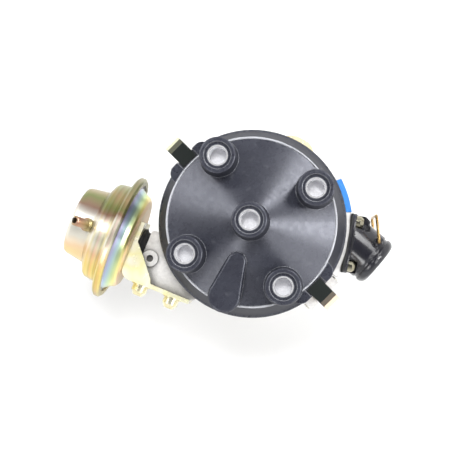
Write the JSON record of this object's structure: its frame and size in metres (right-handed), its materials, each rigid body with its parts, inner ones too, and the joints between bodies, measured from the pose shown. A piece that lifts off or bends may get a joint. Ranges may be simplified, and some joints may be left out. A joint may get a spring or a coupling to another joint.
{
  "type": "ignition distributor",
  "caption": "Ignition distributor with towered cap, side vacuum canister, elbow harness connector, clamp plate, shank and helical drive gear.",
  "frame": {"origin": "shaft axis at the underside of the mounting plate, where the distributor seats on the engine", "axes": "+Z along the shaft towards the cap, +X towards the harness connector's side, +Y towards the clamp ear's side"},
  "size_m": [0.158, 0.091, 0.1525],
  "materials": {
    "cast_aluminium": "satin as-cast",
    "zinc_yellow": "yellow-passivated zinc, iridescent",
    "plated_steel": "zinc plated",
    "rubber": "matte",
    "bronze": "sintered",
    "cap_moulding": "smooth thermoset moulding",
    "terminal_aluminium": "bright turned",
    "carbon": "pressed carbon",
    "spring_steel": "drawn wire",
    "black_plastic": "fine satin",
    "connector_plastic": "smooth moulding",
    "machined_steel": "machined, oiled",
    "gear_iron": "hobbed and oiled",
    "brass": "stamped",
    "coil_bobbin": "varnished winding",
    "magnet": "sintered ferrite",
    "copper_wire": "copper-coloured wire",
    "blue_plate": "plain blue coating"
  },
  "bodies": {
    "housing_body": {"housing": "cast_aluminium", "mounting_plate": "zinc_yellow", "plate_screws": "plated_steel", "shank_o_ring": "rubber", "shaft_bushes": "bronze", "upper_thrust_washer": "bronze", "lower_thrust_washer": "bronze", "cap": "cap_moulding", "outer_terminals": "terminal_aluminium", "centre_terminal": "terminal_aluminium", "brush_spring": "spring_steel", "cap_seal": "rubber", "dust_cover": "black_plastic", "clip_pins": "plated_steel", "pickup_base_plate": "zinc_yellow", "base_plate_screws": "plated_steel", "plate_snap_ring": "spring_steel", "vacuum_outer_shell": "zinc_yellow", "hose_nipple": "zinc_yellow", "vacuum_inner_shell": "zinc_yellow", "diaphragm": "rubber", "diaphragm_spring": "spring_steel", "vacuum_bracket": "zinc_yellow", "bracket_washers": "plated_steel", "bracket_screws": "plated_steel", "rod_boot": "rubber", "connector_gasket": "rubber", "connector_body": "connector_plastic", "connector_pins": "brass", "connector_screws": "zinc_yellow", "blank_label": "blue_plate"},
    "drive_shaft": {"main_shaft": "machined_steel", "drive_gear": "gear_iron", "gear_pin": "machined_steel", "governor_plate": "machined_steel", "weight_pins": "machined_steel", "governor_spring_front": "spring_steel", "governor_spring_rear": "spring_steel", "sleeve_washer": "plated_steel", "sleeve_screw": "plated_steel"},
    "rotor_sleeve": {"cam_sleeve": "machined_steel", "reluctor": "machined_steel", "reluctor_pin": "machined_steel", "rotor_arm": "black_plastic", "rotor_electrode": "brass", "rotor_contact_strip": "brass"},
    "weight_front": {"governor_weight_front": "machined_steel"},
    "weight_rear": {"governor_weight_rear": "machined_steel"},
    "pickup_plate": {"breaker_plate": "zinc_yellow", "link_pin": "machined_steel", "pole_piece": "machined_steel", "pickup_coil": "coil_bobbin", "pickup_magnet": "magnet", "pickup_screws": "plated_steel"},
    "vacuum_link": {"link_rod": "zinc_yellow", "diaphragm_cup": "zinc_yellow"},
    "brush": {"carbon_brush": "carbon"},
    "left_clip": {"clip_upper_left": "zinc_yellow"},
    "right_clip": {"clip_lower_right": "zinc_yellow"},
    "bail": {"wire_bail": "copper_wire"}
  },
  "joints": [
    {"name": "shaft_spin", "type": "hinge", "parent": "housing_body", "child": "drive_shaft", "pos_m": [0, 0, 0], "axis": [0, 0, 1], "continuous": true},
    {"name": "centrifugal_advance", "type": "hinge", "parent": "drive_shaft", "child": "rotor_sleeve", "pos_m": [0, 0, 0.03], "axis": [0, 0, -1], "range_deg": [0, 10.8], "stiffness_Nm_per_rad": 0.05, "springref_deg": -2.86, "deforming": ["governor_spring_front", "governor_spring_rear"]},
    {"name": "front_weight_swing", "type": "hinge", "parent": "drive_shaft", "child": "weight_front", "pos_m": [0.0205, 0, 0.024], "axis": [0, 0, -1], "range_deg": [0, 12.05]},
    {"name": "rear_weight_swing", "type": "hinge", "parent": "drive_shaft", "child": "weight_rear", "pos_m": [-0.0205, 0, 0.024], "axis": [0, 0, -1], "range_deg": [0, 12.05]},
    {"name": "vacuum_advance", "type": "hinge", "parent": "housing_body", "child": "pickup_plate", "pos_m": [0, 0, 0.038], "axis": [0, 0, -1], "range_deg": [0, 9.6]},
    {"name": "diaphragm_slide", "type": "slide", "parent": "housing_body", "child": "vacuum_link", "axis": [-0.9252, 0.3795, 0], "range_m": [0, 0.00505], "stiffness_N_per_m": 10, "springref_m": -0.002, "deforming": ["diaphragm", "diaphragm_spring"]},
    {"name": "brush_slide", "type": "slide", "parent": "housing_body", "child": "brush", "axis": [0, 0, 1], "range_m": [0, 0.0015], "stiffness_N_per_m": 150, "springref_m": -0.003, "deforming": ["brush_spring"]},
    {"name": "left_clip_swing", "type": "hinge", "parent": "housing_body", "child": "left_clip", "pos_m": [-0.03267, 0.03267, 0.027], "axis": [-0.7071, -0.7071, 0], "range_deg": [0, 75]},
    {"name": "right_clip_swing", "type": "hinge", "parent": "housing_body", "child": "right_clip", "pos_m": [0.03267, -0.03267, 0.027], "axis": [0.7071, 0.7071, 0], "range_deg": [0, 75]},
    {"name": "bail_swing", "type": "hinge", "parent": "housing_body", "child": "bail", "pos_m": [0.05945, -0.00864, 0.033], "axis": [0, 0, -1], "range_deg": [0, 80]}
  ],
  "couplings": [
    {"joint": "front_weight_swing", "follows": "centrifugal_advance", "ratio": 1.1111},
    {"joint": "rear_weight_swing", "follows": "centrifugal_advance", "ratio": 1.1111},
    {"joint": "diaphragm_slide", "follows": "vacuum_advance", "m_per_rad": 0.02985}
  ]
}
